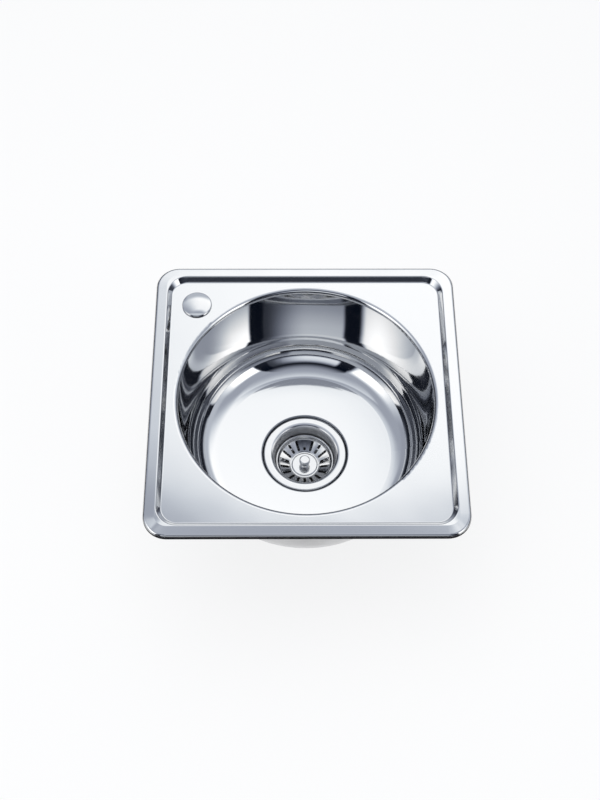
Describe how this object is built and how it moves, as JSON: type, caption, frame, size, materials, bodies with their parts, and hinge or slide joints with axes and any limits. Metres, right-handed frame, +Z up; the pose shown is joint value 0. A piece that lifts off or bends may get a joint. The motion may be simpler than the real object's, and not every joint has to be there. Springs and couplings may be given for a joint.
{
  "type": "single-bowl kitchen sink",
  "caption": "Square inset kitchen sink with a round pressed bowl, raised rim, capped tap hole and basket strainer waste, held down by claws that swing out under the worktop.",
  "frame": {"origin": "centre of the rim, in the plane of the worktop that the rim rests on", "axes": "+Z up out of the bowl, +Y to the back, +X to the right as a user faces the sink"},
  "size_m": [0.4, 0.4, 0.2616],
  "materials": {
    "sink_steel": "satin rim and deck, mirror-bright bowl",
    "polished_steel": "polished",
    "zinc_steel": "zinc plated",
    "brass": "turned",
    "black_rubber": "moulded",
    "foam_seal": "closed-cell foam",
    "damping_pad": "bitumen pad",
    "white_plastic": "moulded polypropylene"
  },
  "bodies": {
    "sink": {"sink_shell": "sink_steel", "rim_gasket": "foam_seal", "sound_pad": "damping_pad", "strainer_cup": "polished_steel", "flange_gasket": "black_rubber", "lower_gasket": "black_rubber", "waste_body": "white_plastic", "insert_nut": "brass", "centre_screw": "polished_steel", "screw_seal": "black_rubber", "clip_lugs": "zinc_steel", "clip_nuts": "zinc_steel"},
    "basket": {"basket_dish": "polished_steel", "basket_knob": "polished_steel", "basket_stem": "polished_steel", "stem_ring": "black_rubber", "basket_stopper": "black_rubber", "stopper_washer": "polished_steel", "stem_nut": "polished_steel"},
    "tap_cap": {"tap_cap_dome": "polished_steel", "tap_cap_seal": "black_rubber", "tap_cap_plug": "white_plastic"},
    "clip_1_screw": {"clip_screw_1": "zinc_steel"},
    "clip_1_claw": {"clip_claw_1": "zinc_steel"},
    "clip_2_screw": {"clip_screw_2": "zinc_steel"},
    "clip_2_claw": {"clip_claw_2": "zinc_steel"},
    "clip_3_screw": {"clip_screw_3": "zinc_steel"},
    "clip_3_claw": {"clip_claw_3": "zinc_steel"},
    "clip_4_screw": {"clip_screw_4": "zinc_steel"},
    "clip_4_claw": {"clip_claw_4": "zinc_steel"}
  },
  "joints": [
    {"name": "basket_lift", "type": "slide", "parent": "sink", "child": "basket", "axis": [0, 0, 1], "range_m": [0, 0.22]},
    {"name": "tap_cap_lift", "type": "slide", "parent": "sink", "child": "tap_cap", "axis": [0, 0, 1], "range_m": [0, 0.03]},
    {"name": "clip_1_clamp", "type": "slide", "parent": "sink", "child": "clip_1_screw", "axis": [0, 0, 1], "range_m": [0, 0.012]},
    {"name": "clip_1_swing", "type": "hinge", "parent": "clip_1_screw", "child": "clip_1_claw", "pos_m": [0.167, 0.09705, -0.053], "axis": [0, 0, -1], "range_deg": [0, 90]},
    {"name": "clip_2_clamp", "type": "slide", "parent": "sink", "child": "clip_2_screw", "axis": [0, 0, 1], "range_m": [0, 0.012]},
    {"name": "clip_2_swing", "type": "hinge", "parent": "clip_2_screw", "child": "clip_2_claw", "pos_m": [-0.09705, 0.167, -0.053], "axis": [0, 0, -1], "range_deg": [0, 90]},
    {"name": "clip_3_clamp", "type": "slide", "parent": "sink", "child": "clip_3_screw", "axis": [0, 0, 1], "range_m": [0, 0.012]},
    {"name": "clip_3_swing", "type": "hinge", "parent": "clip_3_screw", "child": "clip_3_claw", "pos_m": [-0.167, -0.09705, -0.053], "axis": [0, 0, -1], "range_deg": [0, 90]},
    {"name": "clip_4_clamp", "type": "slide", "parent": "sink", "child": "clip_4_screw", "axis": [0, 0, 1], "range_m": [0, 0.012]},
    {"name": "clip_4_swing", "type": "hinge", "parent": "clip_4_screw", "child": "clip_4_claw", "pos_m": [0.09705, -0.167, -0.053], "axis": [0, 0, -1], "range_deg": [0, 90]}
  ]
}
